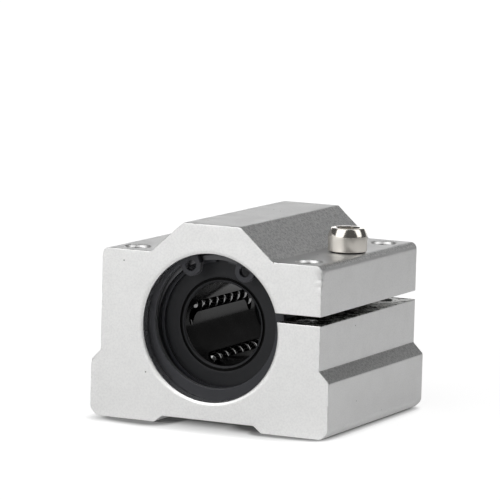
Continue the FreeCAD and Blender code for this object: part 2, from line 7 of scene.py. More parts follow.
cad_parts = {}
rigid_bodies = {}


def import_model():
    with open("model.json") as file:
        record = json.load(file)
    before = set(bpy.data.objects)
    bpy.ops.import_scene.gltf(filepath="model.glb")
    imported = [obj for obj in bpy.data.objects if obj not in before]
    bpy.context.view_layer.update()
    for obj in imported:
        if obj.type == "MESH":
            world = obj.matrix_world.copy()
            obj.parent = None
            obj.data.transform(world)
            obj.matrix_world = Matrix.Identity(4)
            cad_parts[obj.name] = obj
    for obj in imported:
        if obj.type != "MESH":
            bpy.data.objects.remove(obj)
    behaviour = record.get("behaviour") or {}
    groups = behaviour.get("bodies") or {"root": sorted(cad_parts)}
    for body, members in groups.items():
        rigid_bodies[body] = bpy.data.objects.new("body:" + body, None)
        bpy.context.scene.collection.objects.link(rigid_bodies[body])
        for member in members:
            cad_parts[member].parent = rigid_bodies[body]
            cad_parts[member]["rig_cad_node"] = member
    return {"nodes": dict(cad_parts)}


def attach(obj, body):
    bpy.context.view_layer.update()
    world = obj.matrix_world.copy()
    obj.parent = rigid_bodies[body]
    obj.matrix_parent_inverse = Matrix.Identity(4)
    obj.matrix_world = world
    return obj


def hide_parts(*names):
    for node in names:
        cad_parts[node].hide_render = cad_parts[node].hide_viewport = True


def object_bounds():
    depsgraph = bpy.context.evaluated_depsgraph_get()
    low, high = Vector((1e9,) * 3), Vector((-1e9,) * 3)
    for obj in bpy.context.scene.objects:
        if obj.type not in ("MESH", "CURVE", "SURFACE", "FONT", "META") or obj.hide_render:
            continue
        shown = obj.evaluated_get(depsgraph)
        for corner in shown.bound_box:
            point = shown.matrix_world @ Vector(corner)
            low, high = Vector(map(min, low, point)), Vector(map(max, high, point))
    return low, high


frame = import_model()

# an empty start file's own cube, camera and lamp go first
for extra in [o for o in bpy.data.objects if "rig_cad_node" not in o and o.type != "EMPTY"]:
    bpy.data.objects.remove(extra)
cadBox = [list(corner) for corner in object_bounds()]
millimetre = 0.001
boxRoom = 0.01 * millimetre  # new pieces stay this far inside the outer box
nodeNames = sorted(frame["nodes"])
print("frame loaded:", len(nodeNames), "solids")


def addNode(tree, kind, inputs=None, **settings):
    # one shader node; inputs maps a socket name or number to a value or to another node's output
    node = tree.nodes.new("ShaderNode" + kind)
    for name, value in settings.items():
        setattr(node, name, value)
    for name, value in (inputs or {}).items():
        socket = node.inputs[name]
        if isinstance(value, bpy.types.NodeSocket):
            tree.links.new(value, socket)
        else:
            socket.default_value = value
    return node


def newMaterial(name):
    material = bpy.data.materials.new(name)
    material.use_nodes = True
    tree = material.node_tree
    tree.nodes.clear()
    output = addNode(tree, "OutputMaterial")
    shader = addNode(tree, "BsdfPrincipled")
    tree.links.new(shader.outputs["BSDF"], output.inputs["Surface"])
    place = addNode(tree, "TexCoord").outputs["Object"]
    return material, tree, shader, place


def noiseAt(tree, place, scale, detail=2.0, roughness=0.5, stretch=None):
    # fractal noise of that many cells a metre, drawn out along an axis if stretch is given
    if stretch:
        place = addNode(tree, "Mapping", {"Vector": place, "Scale": stretch}).outputs["Vector"]
    return addNode(tree, "TexNoise", {"Vector": place, "Scale": scale, "Detail": detail,
                                      "Roughness": roughness}).outputs["Fac"]


def mapped(tree, value, fromLow, fromHigh, toLow, toHigh, smooth=True):
    # value moved from one range to another, held at its ends
    return addNode(tree, "MapRange", {0: value, 1: fromLow, 2: fromHigh, 3: toLow, 4: toHigh},
                   interpolation_type="SMOOTHSTEP" if smooth else "LINEAR").outputs[0]


def blended(tree, share, first, second):
    # one colour or the other, by share
    node = addNode(tree, "Mix", {0: share}, data_type="RGBA")
    for socket, value in ((node.inputs[6], first), (node.inputs[7], second)):
        if isinstance(value, bpy.types.NodeSocket):
            tree.links.new(value, socket)
        else:
            socket.default_value = (*value, 1.0)
    return node.outputs[2]


def bumped(tree, height, strength, distance, under=None):
    inputs = {"Height": height, "Strength": strength, "Distance": distance}
    if under is not None:
        inputs["Normal"] = under
    return addNode(tree, "Bump", inputs).outputs["Normal"]


skinFinish = {
    # light and dark tone, grain cells a metre, grain height in mm, roughness
    "blasted": ((0.90, 0.90, 0.895), (0.62, 0.625, 0.625), 2300.0, 0.060, 0.38),
    "drawn": ((0.85, 0.85, 0.845), (0.80, 0.80, 0.80), 3600.0, 0.016, 0.415),
    "milled": ((0.94, 0.94, 0.93), (0.88, 0.88, 0.875), 2600.0, 0.008, 0.42),
    "bored": ((0.86, 0.86, 0.85), (0.74, 0.74, 0.74), 3000.0, 0.006, 0.26),
}


metalTones = {
    # painted shade and light by height on the slanting faces, the ledges darker and the slopes lighter:
    # heights, and share of the tone at each
    "slope": (12.0 * millimetre, 32.0 * millimetre, 0.74, 1.09),
    "grain": (0.35, 0.62),  # from the dark tone to the light one
    "cloudCells": 260.0,
    "cloud": (0.42, 0.66, 0.0, 0.05),
    "cloudTone": (0.55, 0.55, 0.54),
    "cloudRough": (0.3, 0.7, 0.03),  # the cloud's range, and how far roughness strays with it
    "speckCells": 260.0,
    "speck": (0.03, 0.055),
    "speckTone": (0.18, 0.18, 0.17),
}


def aluminium(kind):
    # one of the block's metal finishes: an even satin, its grain lifting and toning it, faintly
    # clouded, with a dark speck here and there; on the blasted faces painted shade low down and painted
    # light high up
    light, dark, cells, lift, rough = skinFinish[kind]
    material, tree, shader, place = newMaterial(kind + "_aluminium")
    grain = noiseAt(tree, place, cells, 3.0, 0.6)
    cloud = noiseAt(tree, place, metalTones["cloudCells"], 4.0, 0.6)
    tone = blended(tree, mapped(tree, grain, *metalTones["grain"], 0.0, 1.0), dark, light)
    tone = blended(tree, mapped(tree, cloud, *metalTones["cloud"]), tone, metalTones["cloudTone"])
    speck = addNode(tree, "TexVoronoi", {"Vector": place, "Scale": metalTones["speckCells"]})
    clear = mapped(tree, speck.outputs["Distance"], *metalTones["speck"], 0.0, 1.0)
    tone = blended(tree, clear, metalTones["speckTone"], tone)
    if kind == "blasted":
        # painted shade low on the ledges and painted light high on the slopes, by height
        high = addNode(tree, "SeparateXYZ", {0: place}).outputs["Z"]
        share = mapped(tree, high, *metalTones["slope"])
        tone = addNode(tree, "VectorMath", {0: tone, "Scale": share}, operation="SCALE").outputs[0]
    low, high, stray = metalTones["cloudRough"]
    roughness = mapped(tree, cloud, low, high, rough - stray, rough + stray)
    tree.links.new(tone, shader.inputs["Base Color"])
    tree.links.new(roughness, shader.inputs["Roughness"])
    tree.links.new(bumped(tree, grain, 1.0, lift * millimetre), shader.inputs["Normal"])
    shader.inputs["Metallic"].default_value = 1.0
    return material


slitFinish = {
    "steel": (0.80, 0.80, 0.78),
    "grime": (0.022, 0.022, 0.020),
    "sawMarks": 1100.0,
    "pits": 1900.0,
    "stretch": (0.25, 1.0, 1.0),
    "way": (0.5, 1.0, 0.0),
    "wayFrom": (-0.012, 0.026),  # the front inner end and the rear outer end
    "cleaner": (-0.005, 0.06),  # how much it lightens at each
    "bareFrom": (0.25, 0.29),
    "rough": (0.65, 0.42),  # of grime and of steel
    "height": 0.06,
}


def sawnSlit():
    # saw-cut walls: bright ridges across the cut between black pits, darker towards the front inner
    # end and lighter towards the rear outer end
    material, tree, shader, place = newMaterial("sawn_slit")
    marks = noiseAt(tree, place, slitFinish["sawMarks"], 2.0, 0.6, slitFinish["stretch"])
    pits = noiseAt(tree, place, slitFinish["pits"], 4.0, 0.65)
    both = addNode(tree, "Math", {0: marks, 1: pits}, operation="MULTIPLY").outputs[0]
    along = addNode(tree, "VectorMath", {0: place, 1: slitFinish["way"]}, operation="DOT_PRODUCT")
    bare = mapped(tree, along.outputs["Value"], *slitFinish["wayFrom"], *slitFinish["cleaner"])
    summed = addNode(tree, "Math", {0: both, 1: bare}).outputs[0]
    clean = mapped(tree, summed, *slitFinish["bareFrom"], 0.0, 1.0)
    tone = blended(tree, clean, slitFinish["grime"], slitFinish["steel"])
    roughness = mapped(tree, clean, 0.0, 1.0, *slitFinish["rough"])
    tree.links.new(tone, shader.inputs["Base Color"])
    tree.links.new(roughness, shader.inputs["Roughness"])
    torn = bumped(tree, both, 1.0, slitFinish["height"] * millimetre)
    tree.links.new(torn, shader.inputs["Normal"])
    shader.inputs["Metallic"].default_value = 1.0
    return material


screwFinish = {
    "base": (0.76, 0.725, 0.67),
    # roughness of the turned side and of the bright rim, and how much more it gets in places
    "rough": (0.30, 0.12, 0.08),
    "roughCells": 1500.0,
    "turnedMarks": (5000.0, 0.016),  # cells a metre, and height
    "ripple": (900.0, 0.002),
}


def platedNickel(turned=False):
    # bright plating, rippled on the rim and top, with turning marks round the side if turned
    material, tree, shader, place = newMaterial("turned_nickel" if turned else "bright_nickel")
    shader.inputs["Base Color"].default_value = (*screwFinish["base"], 1.0)
    shader.inputs["Metallic"].default_value = 1.0
    side, rim, more = screwFinish["rough"]
    rough = side if turned else rim
    patchy = noiseAt(tree, place, screwFinish["roughCells"])
    tree.links.new(mapped(tree, patchy, 0.3, 0.7, rough, rough + more), shader.inputs["Roughness"])
    cells, lift = screwFinish["turnedMarks" if turned else "ripple"]
    stretch = (1.0, 1.0, 0.1) if turned else None
    marks = noiseAt(tree, place, cells, 2.0, 0.5, stretch)
    tree.links.new(bumped(tree, marks, 1.0, lift * millimetre), shader.inputs["Normal"])
    return material


plainSpread = (0.85, 1.15)  # a plain finish's tone and roughness stray between these shares


def plainFinish(name, base, metallic, roughness, cells, lift, gloss=0.5):
    # an even finish with a fine grain of that many cells a metre and that height in mm
    material, tree, shader, place = newMaterial(name)
    low, high = plainSpread
    grain = noiseAt(tree, place, cells, 3.0)
    tone = blended(tree, grain, tuple(low * c for c in base), tuple(high * c for c in base))
    rough = mapped(tree, grain, 0.3, 0.7, low * roughness, high * roughness)
    tree.links.new(tone, shader.inputs["Base Color"])
    tree.links.new(rough, shader.inputs["Roughness"])
    tree.links.new(bumped(tree, grain, 1.0, lift * millimetre), shader.inputs["Normal"])
    shader.inputs["Metallic"].default_value = metallic
    shader.inputs["Specular IOR Level"].default_value = gloss
    return material


plainFinishes = {
    # by slot: name, tone, metallic, roughness, grain cells a metre, grain height in mm, gloss
    "black_spring_steel": ("phosphated_steel", (0.038, 0.039, 0.045), 0.3, 0.45, 2500.0, 0.004, 0.5),
    "bearing_steel": ("ground_steel", (0.10, 0.10, 0.104), 1.0, 0.34, 1800.0, 0.002),
    "black_resin": ("moulded_resin", (0.0012, 0.0012, 0.0015), 0.0, 0.17, 300.0, 0.0001, 0.22),
    "black_rubber": ("seal_rubber", (0.0105, 0.011, 0.0135), 0.0, 0.48, 1800.0, 0.004, 0.35),
    "polished_balls": ("polished_steel", (0.32, 0.32, 0.32), 1.0, 0.07, 900.0, 0.0001),
}
finishes = {"housing_aluminium": aluminium("blasted"), "nickel_screw": platedNickel()}
finishes.update({slot: plainFinish(*values) for slot, values in plainFinishes.items()})
for name in nodeNames:
    solid = frame["nodes"][name]
    for i, material in enumerate(list(solid.data.materials)):
        solid.data.materials[i] = finishes[material.name]
housingFinishes = [finishes["housing_aluminium"], aluminium("milled"), aluminium("bored"),
                   sawnSlit(), aluminium("drawn")]
turnedNickel = platedNickel(turned=True)
# lighter steel on the rings' inner edges: sheared steel and a painted highlight
cutEdgeHighlight = plainFinish("cut_edge_highlight", (0.17, 0.172, 0.18), 0.3, 0.42, 2500.0, 0.004)
oiledNickel = plainFinish("oiled_nickel", (0.13, 0.125, 0.12), 1.0, 0.40, 2200.0, 0.010)
# near-black for painted shade: in the gap under the screw head, with oil grime, and in the seal's
# groove
grimeAndShadeBlack = plainFinish("grime_and_shade_black", (0.006, 0.006, 0.006), 0.0, 0.75, 2200.0, 0.010, 0.15)
print("finishes made:", len(bpy.data.materials))


def gridFaces(rows, columns, closedRows=False, closedColumns=False):
    # four-sided faces between neighbouring points of a rows x columns grid, row by row
    index = np.arange(rows * columns).reshape(rows, columns)
    if closedRows:
        index = np.vstack([index, index[:1]])
    if closedColumns:
        index = np.hstack([index, index[:, :1]])
    return np.stack([index[:-1, :-1], index[:-1, 1:], index[1:, 1:], index[1:, :-1]], -1).reshape(-1, 4)


mergeWithin = 0.002 * millimetre


def makePiece(name, patches, finish, body, stands=(), sharpest=35.0, rounding=0.0):
    # patches are (points in millimetres, faces, finish number): their shared rims are merged,
    # the faces turned outwards, and if rounding is given, edges sharper than an angle rounded
    points = np.vstack([patch[0].reshape(-1, 3) for patch in patches]) * millimetre
    points = np.clip(points, np.array(cadBox[0]) + boxRoom, np.array(cadBox[1]) - boxRoom)
    starts = np.cumsum([0] + [patch[0].size // 3 for patch in patches])
    faces, numbers = [], []
    for start, (_, corners, number) in zip(starts, patches):
        for group in corners if isinstance(corners, list) else [corners]:
            faces += (group + start).tolist()
            numbers += np.broadcast_to(number, len(group)).tolist()
    mesh = bpy.data.meshes.new(name)
    mesh.from_pydata(points.tolist(), [], faces)
    mesh.polygons.foreach_set("material_index", np.array(numbers, np.int32))
    work = bmesh.new()
    work.from_mesh(mesh)
    bmesh.ops.remove_doubles(work, verts=work.verts[:], dist=mergeWithin)
    bmesh.ops.delete(work, geom=[v for v in work.verts if not v.link_faces], context="VERTS")
    bmesh.ops.recalc_face_normals(work, faces=work.faces[:])
    openEdges = sum(1 for e in work.edges if len(e.link_faces) != 2)
    work.to_mesh(mesh)
    work.free()
    mesh.shade_smooth()
    mesh.set_sharp_from_angle(angle=np.radians(sharpest))
    for material in finish:
        mesh.materials.append(material)
    piece = bpy.data.objects.new(name, mesh)
    bpy.context.collection.objects.link(piece)
    if rounding:
        rounder = piece.modifiers.new("edge_round", "BEVEL")
        rounder.width, rounder.segments = rounding * millimetre, 2
        rounder.limit_method, rounder.angle_limit = "ANGLE", np.radians(sharpest)
        rounder.use_clamp_overlap, rounder.harden_normals = False, True
    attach(piece, body)
    if stands:
        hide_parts(*stands)
    print(name, "made:", len(mesh.polygons), "faces,", openEdges, "open edges")


housing = {
    "halfLength": 22.0,
    "slit": (21.32, 22.95),
    "side": 22.98,
    "shoulder": (32.5, 1.3),  # height, corner radius
    "slopeFoot": (12.72, 0.5),  # out from the middle, corner radius
    "ridge": (5.94, 38.5, 0.8),  # half width, height, corner radius
    "ledge": (12.77, 0.5, 10.74, 0.6),  # upper height and radius, lower height and radius
    "foot": (25.0, 1.4, 1.7),  # half width, chamfer, corner radius
    "recess": (11.28, 9.64, 1.29),  # half width at the foot and inside, depth
    "arcStep": 14.0,  # degrees at most between points of a rounded corner
    "bore": (14.05, 19.0),  # radius, height of the axis
    "mouth": (0.50, 0.24, 0.14),  # the bore's bevel: width, depth, and the front one's drop
    "mouthRoom": 0.01,
    "ringGroove": (14.7, 18.5, 19.8),  # radius, from and to along the block
    "hole": (18.0, 17.0),
    "holeLines": (1.9, 3.2),  # half sizes of the inner and the outer square round a hole
    "step": 0.34,
    "longStep": 2.7,  # along the block, between the holes
    "rimLines": (0.22, 0.75),  # in from each end
    "slanting": (0.35, 8.0),  # least lean of a coarser face, and from what height
    "edgeRound": 0.18,
    "wornEdges": 130,
    "wornFrom": 2.5,  # none lower than this
    "wornDepth": (0.02, 0.09),
    "wornDeeper": (0.8, 1.6),  # past this draw, deeper by this much
    "wornRear": 0.3,  # depth at the rear rim, as a share
    "wornSlant": (0.3, 1.0),  # how far a knock leans along the block
    "wornReach": (0.25, 0.6),
    # dents down the front right corner: place across and up, depth, reach
    "cornerDents": [(22.98, 31.3, 0.36, 1.0), (22.98, 30.2, 0.28, 0.8), (22.98, 28.9, 0.26, 0.6),
                    (22.98, 26.8, 0.10, 0.7), (22.98, 14.9, 0.12, 0.6), (25.0, 6.3, 0.20, 0.6),
                    (25.0, 5.2, 0.10, 0.5), (24.4, 1.0, 0.16, 0.7)],
    "dentWay": (-0.6, 1.0, 0.0),
}
holes = {
    "turns": 40,
    # radii of a mounting hole's mouth, its foot, the thread and the drill
    "mount": (2.65, 2.2, 2.5, 2.15),
    "mountDepths": (0.6, 0.7, 12.0, 12.2),  # below the shoulder, where the radius changes
    # radii of the clamp screw's hole at the mouth, above the slit and below it
    "clamp": (2.95, 2.75, 2.55),
    "clampMouth": 0.2,
    "clampEnd": (10.5, 9.03),  # heights of the drill point's rim and tip
}


def holeStations(centre):
    # lines across a hole: equal turns of the hole's rim, then two out to the square round it
    near, far = housing["holeLines"]
    eighth = holes["turns"] // 8
    inner = near * np.tan(np.radians(360.0 / holes["turns"] * np.arange(-eighth, eighth + 1)))
    return centre + np.concatenate([[-far, -(near + far) / 2], inner, [(near + far) / 2, far]])


def between(start, end, step):
    # inner stations of a run, no further apart than step
    count = max(1, int(np.ceil(abs(end - start) / step)))
    return np.linspace(start, end, count + 1)[1:-1]


def sectionPath():
    # the outline anticlockwise from the slit's upper lip to its lower lip; each corner is cut back
    # by radius * tan(half its turn) and an arc about its centre joins the two runs
    side, (top, topRound) = housing["side"], housing["shoulder"]
    slope, slopeRound = housing["slopeFoot"]
    ridge, height, ridgeRound = housing["ridge"]
    ledgeHigh, highRound, ledgeLow, lowRound = housing["ledge"]
    foot, chamfer, footRound = housing["foot"]
    mouth, floor, deep = housing["recess"]
    left = [(-slope, top, slopeRound), (-side, top, topRound), (-side, ledgeHigh, highRound),
            (-foot, ledgeLow, lowRound), (-foot, chamfer, footRound), (chamfer - foot, 0.0, footRound),
            (-mouth, 0.0, 0.0), (-floor, deep, 0.0)]
    right = [(-x, z, r) for x, z, r in reversed(left)]
    slitLow, slitHigh = housing["slit"]
    corners = ([(side, slitHigh, 0.0), (side, top, topRound), (slope, top, slopeRound),
                (ridge, height, ridgeRound), (-ridge, height, ridgeRound)]
               + left + right[:6] + [(side, slitLow, 0.0)])
    spots = np.array([c[:2] for c in corners])
    radii = np.array([c[2] for c in corners])
    ways = np.diff(spots, axis=0)
    ways /= np.linalg.norm(ways, axis=1)[:, None]
    holeX = housing["hole"][0]
    path, cut = [], 0.0
    for i, way in enumerate(ways):
        start = spots[i] + way * cut
        turn, cut = 0.0, 0.0
        if i + 1 < len(ways):
            after = ways[i + 1]
            turn = np.arctan2(way[0] * after[1] - way[1] * after[0], way @ after)
            cut = radii[i + 1] * abs(np.tan(turn / 2))
        end = spots[i + 1] - way * cut
        flat = abs(way[1]) < 1e-9 and (abs(start[1] - top) < 1e-9 or abs(start[1]) < 1e-9)
        if flat:
            lines = np.sort(holeStations(holeX * np.sign(start[0])))
            lines = lines if end[0] > start[0] else lines[::-1]
            xs = np.concatenate([between(start[0], lines[0], housing["step"]), lines,
                                 between(lines[-1], end[0], housing["step"])])
            run = np.column_stack([xs, np.full(len(xs), start[1])])
        else:
            along = between(0.0, np.linalg.norm(end - start), housing["step"])
            run = start + along[:, None] * way
        path += [start[None], run]
        if cut > 0.0:
            normal = np.array([-way[1], way[0]]) * np.sign(turn)
            centre = end + normal * radii[i + 1]
            count = int(np.ceil(abs(np.degrees(turn)) / housing["arcStep"]))
            share = np.linspace(0.0, turn, count + 1)[1:-1]
            arm = end - centre
            arc = np.column_stack([arm[0] * np.cos(share) - arm[1] * np.sin(share),
                                   arm[0] * np.sin(share) + arm[1] * np.cos(share)])
            path += [end[None], centre + arc]
    path.append(spots[-1:])
    return np.vstack(path)


def openHole(across, along, centre, radius):
    # the square grid round a hole is drawn onto its circle: at the inner square a point lies on the
    # circle, at the outer one on the square, and between them it moves evenly from one to the other
    near, far = housing["holeLines"]
    dx, dy = across - centre[0], along - centre[1]
    reach = np.maximum(np.abs(dx), np.abs(dy))
    touched = (reach < far + 1e-6) & (reach > near - 1e-6)
    share = np.clip((reach - near) / (far - near), 0.0, 1.0)
    length = np.maximum(np.hypot(dx, dy), 1e-9)
    safe = np.maximum(reach, 1e-9)
    newX = centre[0] + (1 - share) * radius * dx / length + share * dx * far / safe
    newY = centre[1] + (1 - share) * radius * dy / length + share * dy * far / safe
    gone = reach < near + 1e-6
    return np.where(touched, newX, across), np.where(touched, newY, along), gone


def tube(centre, radii, heights):
    # rings of a radius and height each about an upright axis
    turns = holes["turns"]
    angle = np.radians(360.0 / turns * np.arange(turns))
    radii, heights = np.array(radii)[:, None], np.array(heights)[:, None]
    x = centre[0] + radii * np.cos(angle)
    y = centre[1] + radii * np.sin(angle)
    points = np.stack([x, y, heights + 0 * angle], -1)
    return points, gridFaces(len(radii), turns, closedColumns=True)


def wornEdges(points, path, normals):
    # knocks in the end faces' rims: each pushes the points near it inwards by
    # depth * (1 - (distance / reach)^2)^2; the rear rim has only slight ones
    rng = np.random.default_rng(16)
    half = housing["halfLength"]
    usual, deeper = housing["wornDeeper"]
    knocks = []
    for knock in range(housing["wornEdges"]):
        at = rng.integers(4, len(path) - 4)
        end = -1.0 if knock % 5 < 3 else 1.0
        depth = rng.uniform(*housing["wornDepth"]) * (1.0 if rng.random() < usual else deeper)
        depth *= 1.0 if end < 0 else housing["wornRear"]
        slant = rng.uniform(*housing["wornSlant"])
        inward = (-normals[at, 0], -end * slant, -normals[at, 1])
        reach = rng.uniform(*housing["wornReach"])
        if path[at, 1] > housing["wornFrom"]:
            knocks.append(((path[at, 0], end * half, path[at, 1]), inward, depth, reach))
    for across, height, depth, reach in housing["cornerDents"]:
        knocks.append(((across, -half, height), housing["dentWay"], depth, reach))
    for centre, inward, depth, reach in knocks:
        away = np.sum((points - np.array(centre)) ** 2, -1)
        share = np.clip(1.0 - away / reach ** 2, 0.0, 1.0) ** 2
        points += share[..., None] * np.array(inward) * depth
    return points


def makeHousing():
    # one closed surface: round the section by u, and at each u a loop over the outside, the rear
    # face, the bore and the front face; two flat grids close the slit and tubes line the holes
    half, (boreRadius, boreHeight) = housing["halfLength"], housing["bore"]
    mouth, mouthDepth, mouthDrop = housing["mouth"]
    grooveRadius, grooveStart, grooveEnd = housing["ringGroove"]
    slitLow, slitHigh = housing["slit"]
    holeX, holeY = housing["hole"]
    holeMouth, holeChamfer, holeThread, holeDrill = holes["mount"]
    clampMouth, clampClear, clampTapped = holes["clamp"]
    top = housing["shoulder"][0]
    path = sectionPath()
    tangents = np.gradient(path, axis=0)
    normals = np.column_stack([tangents[:, 1], -tangents[:, 0]])
    normals /= np.linalg.norm(normals, axis=1)[:, None]
    # stations along the block, outside and in the bore, in equal numbers
    ends = half - np.array([0.0, *housing["rimLines"]])
    groups = [holeStations(y) for y in (-holeY, 0.0, holeY)]
    gaps = [between(first[-1], second[0], housing["longStep"])
            for first, second in zip(groups, groups[1:])]
    outside = np.concatenate([-ends, groups[0], gaps[0], groups[1], gaps[1], groups[2],
                              ends[::-1]])
    nose = np.array([[boreRadius + mouth, half], [boreRadius, half - mouthDepth],
                     [boreRadius, grooveEnd], [grooveRadius, grooveEnd],
                     [grooveRadius, grooveStart], [boreRadius, grooveStart]])
    # a hair under one run more than the stations left, so that rounding can't add one
    runs = len(outside) - 2 * len(nose) + 0.999
    inner = between(-grooveStart, grooveStart, 2 * grooveStart / runs)
    boreY = np.concatenate([-nose[:, 1], inner, nose[::-1, 1]])
    boreR = np.concatenate([nose[:, 0], np.full(len(inner), boreRadius), nose[::-1, 0]])
    # columns from the bore to the outside, straight where the slit's holes are
    columns = holeStations(holeX)
    atFront = boreY < mouthDepth + housing["mouthRoom"] - half
    centres = boreHeight - np.where(atFront, mouthDrop, 0.0)
    mouthX = np.sqrt((boreRadius + mouth) ** 2 - (slitHigh - boreHeight) ** 2)
    columns = np.concatenate([[mouthX, (mouthX + columns[0]) / 2], columns,
                              [(columns[-1] + housing["side"]) / 2, housing["side"]]])
    share = (columns - columns[0]) / (columns[-1] - columns[0])
    # the polar place of each outline point says where its line meets the bore
    theta = np.unwrap(np.arctan2(path[:, 1] - boreHeight, path[:, 0]))
    part = (theta - theta[0]) / (theta[-1] - theta[0])

    def onBore(radius, centre):
        first = np.arcsin((slitHigh - centre) / radius)
        last = 2 * np.pi + np.arcsin((slitLow - centre) / radius)
        angle = first + part[:, None] * (last - first)
        return radius * np.cos(angle), centre + radius * np.sin(angle)

    count, deep = len(path), len(outside)
    skin = np.empty((count, deep, 3))
    skin[..., 0], skin[..., 1], skin[..., 2] = path[:, None, 0], outside, path[:, None, 1]
    boreX, boreZ = onBore(boreR[None, :], centres[None, :])
    lining = np.stack([boreX, np.broadcast_to(boreY, boreX.shape), boreZ], -1)
    faces = []
    for end, row in ((-half, 0), (half, -1)):
        rim, eye = skin[:, None, row], lining[:, None, row]
        faces.append(eye + share[None, :, None] * (rim - eye))
    walls = []
    for u, z in ((0, slitHigh), (-1, slitLow)):
        wall = np.empty((len(columns), deep, 3))
        wall[..., 0], wall[..., 1], wall[..., 2] = columns[:, None], outside, z
        wall[0], wall[-1] = lining[u], skin[u]
        wall[1] = (wall[0] + wall[2]) / 2
        wall[:, 0], wall[:, -1] = faces[0][u], faces[1][u]
        walls.append(wall)
    # holes in the shoulders, the foot and both slit walls
    goneSkin = np.zeros((count, deep), bool)
    goneWall = [np.zeros((len(columns), deep), bool) for _ in walls]
    patches = []
    flatTop = np.abs(path[:, 1] - top) < 1e-6
    flatFoot = np.abs(path[:, 1]) < 1e-6
    turns = holes["turns"]
    steps = [top - depth for depth in holes["mountDepths"]]
    for x, y in [(sx * holeX, sy * holeY) for sx in (-1, 1) for sy in (-1, 1)] + [(holeX, 0.0)]:
        clamp = y == 0.0
        for rows, radius in ((flatTop, clampMouth if clamp else holeMouth), (flatFoot, holeDrill)):
            if clamp and rows is flatFoot:
                continue
            newX, newY, gone = openHole(skin[rows, :, 0], skin[rows, :, 1], (x, y), radius)
            skin[rows, :, 0], skin[rows, :, 1] = newX, newY
            goneSkin[rows] |= gone
        if x > 0:
            wallRadii = (clampClear, clampTapped) if clamp else (holeThread, holeDrill)
            for wall, mask, radius in zip(walls, goneWall, wallRadii):
                newX, newY, gone = openHole(wall[..., 0], wall[..., 1], (x, y), radius)
                wall[..., 0], wall[..., 1] = newX, newY
                mask |= gone
        if clamp:
            patches.append((*tube((x, y), [clampMouth, clampClear, clampClear],
                                  [top, top - holes["clampMouth"], slitHigh]),
                            np.repeat([1, 2], turns)))
            patches.append((*tube((x, y), [clampTapped, clampTapped, 0.0],
                                  [slitLow, *holes["clampEnd"]]), 3))
        elif x > 0:
            patches.append((*tube((x, y), [holeMouth, holeChamfer, holeThread, holeThread],
                                  [top, *steps[:2], slitHigh]), np.repeat([1, 2, 2], turns)))
            patches.append((*tube((x, y), [holeDrill, holeDrill], [slitLow, 0.0]), 2))
        else:
            patches.append((*tube((x, y), [holeMouth, holeChamfer, holeThread, holeThread, holeDrill,
                                           holeDrill], [top, *steps, 0.0]),
                            np.repeat([1, 2, 2, 2, 2], turns)))

    def kept(shape, gone):
        quads = gridFaces(*shape)
        whole = ~gone.ravel()[quads].all(axis=1)
        return quads[whole], whole

    # the slanting faces are coarser than the sides and tops
    lean, lowest = housing["slanting"]
    slanting = np.abs(normals[:-1]).min(axis=1) > lean
    slanting &= path[:-1, 1] > lowest
    numbers = np.repeat(np.where(slanting, 0, 4), deep - 1)
    quads, whole = kept((count, deep), goneSkin)
    across = np.arange(deep - 1)
    chamfer = np.tile(np.where((across == 0) | (across == deep - 2), 1, 2), count - 1)
    patches += [(skin, quads, numbers[whole]), (lining, gridFaces(count, deep), chamfer)]
    patches += [(face, gridFaces(count, len(columns)), 1) for face in faces]
    patches += [(wall, kept(wall.shape[:2], mask)[0], 3) for wall, mask in zip(walls, goneWall)]
    patches = [(wornEdges(points.astype(float), path, normals), quads, number)
               for points, quads, number in patches]
    makePiece("housing_worn", patches, housingFinishes, "block",
              ["housing_block"], rounding=housing["edgeRound"])


makeHousing()


clampScrew = {
    "axis": (18.0, 0.0),
    "seat": 32.5,
    "tip": (12.5, 1.9),
    "thread": (2.5, 2.04, 0.8),  # crest and root radius, pitch
    "threadEnd": (0.9, 0.5),  # how far below the seat it stops, and over what length it runs out
    "crestWave": (1.2, 0.1),  # the ridge's triangle wave, scaled and lowered
    "neck": 2.25,
    # rings round the neck and under the head: out from the neck or the head's side, and up from
    # the seat or the gap's top
    "collar": [(0.0, -0.25), (0.06, -0.08), (0.25, 0.0)],
    "underHead": [(-0.22, 0.01), (-0.03, 0.16), (0.0, 0.26)],
    "sideRing": 0.45,  # share of the head's height
    "head": (3.75, 4.7),
    "rim": (0.50, 1.42, 8.0),  # width and height of the rounded rim, half the turn of its arc
    "rimRings": 17,
    "rimTop": 0.10,  # below the top
    "topRings": [(0.05, 0.03), (0.13, 0.0)],  # in from the rim, and below the top
    "undercut": (3.20, 0.18),  # radius and height of the gap under the head
    "hex": (2.0, 2.41, 2.5, 10.0),  # half width, mouth radius, depth, turn
    "hexEdge": 0.03,
    "hexFloor": (0.97, 0.02),  # share of the half width, and how much deeper
    "drillPoint": 30.0,
    "turns": 72,
    "rowsPerPitch": 12,
}


